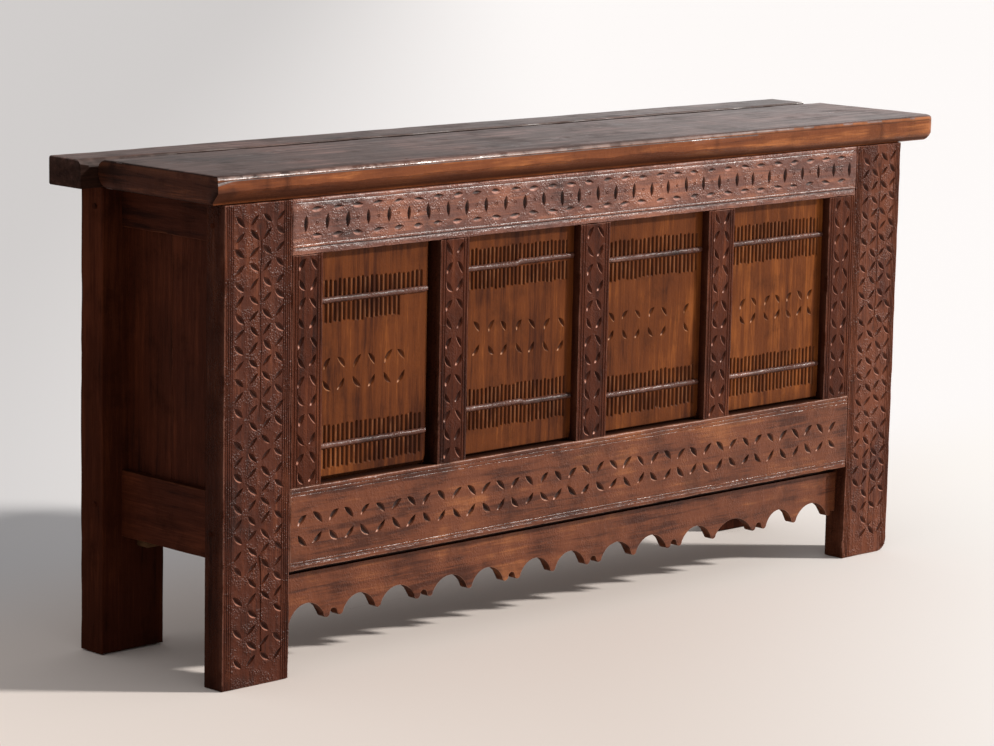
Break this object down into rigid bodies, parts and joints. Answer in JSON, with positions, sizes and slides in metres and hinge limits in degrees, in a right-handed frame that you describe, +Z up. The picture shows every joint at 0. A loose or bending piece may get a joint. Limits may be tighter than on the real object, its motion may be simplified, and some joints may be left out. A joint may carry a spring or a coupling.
{
  "type": "buffet cabinet",
  "caption": "Long low carved wooden chest used as a buffet: plank legs, framed and panelled front, scalloped apron and a thick top-opening lid.",
  "frame": {"origin": "on the floor, under the middle of the whole chest's box", "axes": "+X along the front to the right as seen from the front, +Y from the front to the back, +Z up"},
  "size_m": [1.947, 0.421, 0.9003],
  "materials": {
    "dark_wood": "dark waxed, worn on the edges",
    "warm_wood": "waxed orange brown",
    "panel_wood": "waxed honey brown, upright grain",
    "lid_wood": "scrubbed grey brown, scratched",
    "end_wood": "dark red brown",
    "back_wood": "plain planed, dark",
    "inner_wood": "bare, dusty",
    "peg_wood": "riven pegs, end grain",
    "iron": "forged, dark"
  },
  "bodies": {
    "chest": {"back_bottom_rail": "back_wood", "back_floor_bearer": "inner_wood", "back_frame_pegs": "peg_wood", "back_muntin_1": "back_wood", "back_muntin_2": "back_wood", "back_muntin_3": "back_wood", "back_panel_1": "back_wood", "back_panel_2": "back_wood", "back_panel_3": "back_wood", "back_panel_4": "back_wood", "back_top_rail": "back_wood", "bearer_nails": "iron", "end_frame_pegs": "peg_wood", "floor_board_1": "inner_wood", "floor_board_2": "inner_wood", "floor_board_3": "inner_wood", "floor_board_4": "inner_wood", "floor_board_5": "inner_wood", "floor_board_6": "inner_wood", "floor_board_7": "inner_wood", "floor_nails": "iron", "front_apron": "warm_wood", "front_bottom_rail": "warm_wood", "front_floor_bearer": "inner_wood", "front_frame_pegs": "peg_wood", "front_left_leg": "dark_wood", "front_panel_1": "panel_wood", "front_panel_2": "panel_wood", "front_panel_3": "panel_wood", "front_panel_4": "panel_wood", "front_right_leg": "dark_wood", "front_stile_1": "dark_wood", "front_stile_2": "dark_wood", "front_stile_3": "dark_wood", "front_stile_4": "dark_wood", "front_stile_5": "dark_wood", "front_top_rail": "dark_wood", "hinge_eye_left": "iron", "hinge_eye_right": "iron", "left_end_bottom_rail": "end_wood", "left_end_panel_front": "end_wood", "left_end_panel_rear": "end_wood", "left_end_top_rail": "end_wood", "rear_left_leg": "dark_wood", "rear_right_leg": "dark_wood", "rear_top_board": "lid_wood", "right_end_bottom_rail": "end_wood", "right_end_panel_front": "end_wood", "right_end_panel_rear": "end_wood", "right_end_top_rail": "end_wood", "top_board_pegs": "peg_wood"},
    "lid": {"lid_board": "lid_wood", "hinge_staple_left": "iron", "hinge_staple_right": "iron"}
  },
  "joints": [
    {"name": "lid_hinge", "type": "hinge", "parent": "chest", "child": "lid", "pos_m": [0, 0.0905, 0.8743], "axis": [-1, 0, 0], "range_deg": [0, 98]}
  ]
}
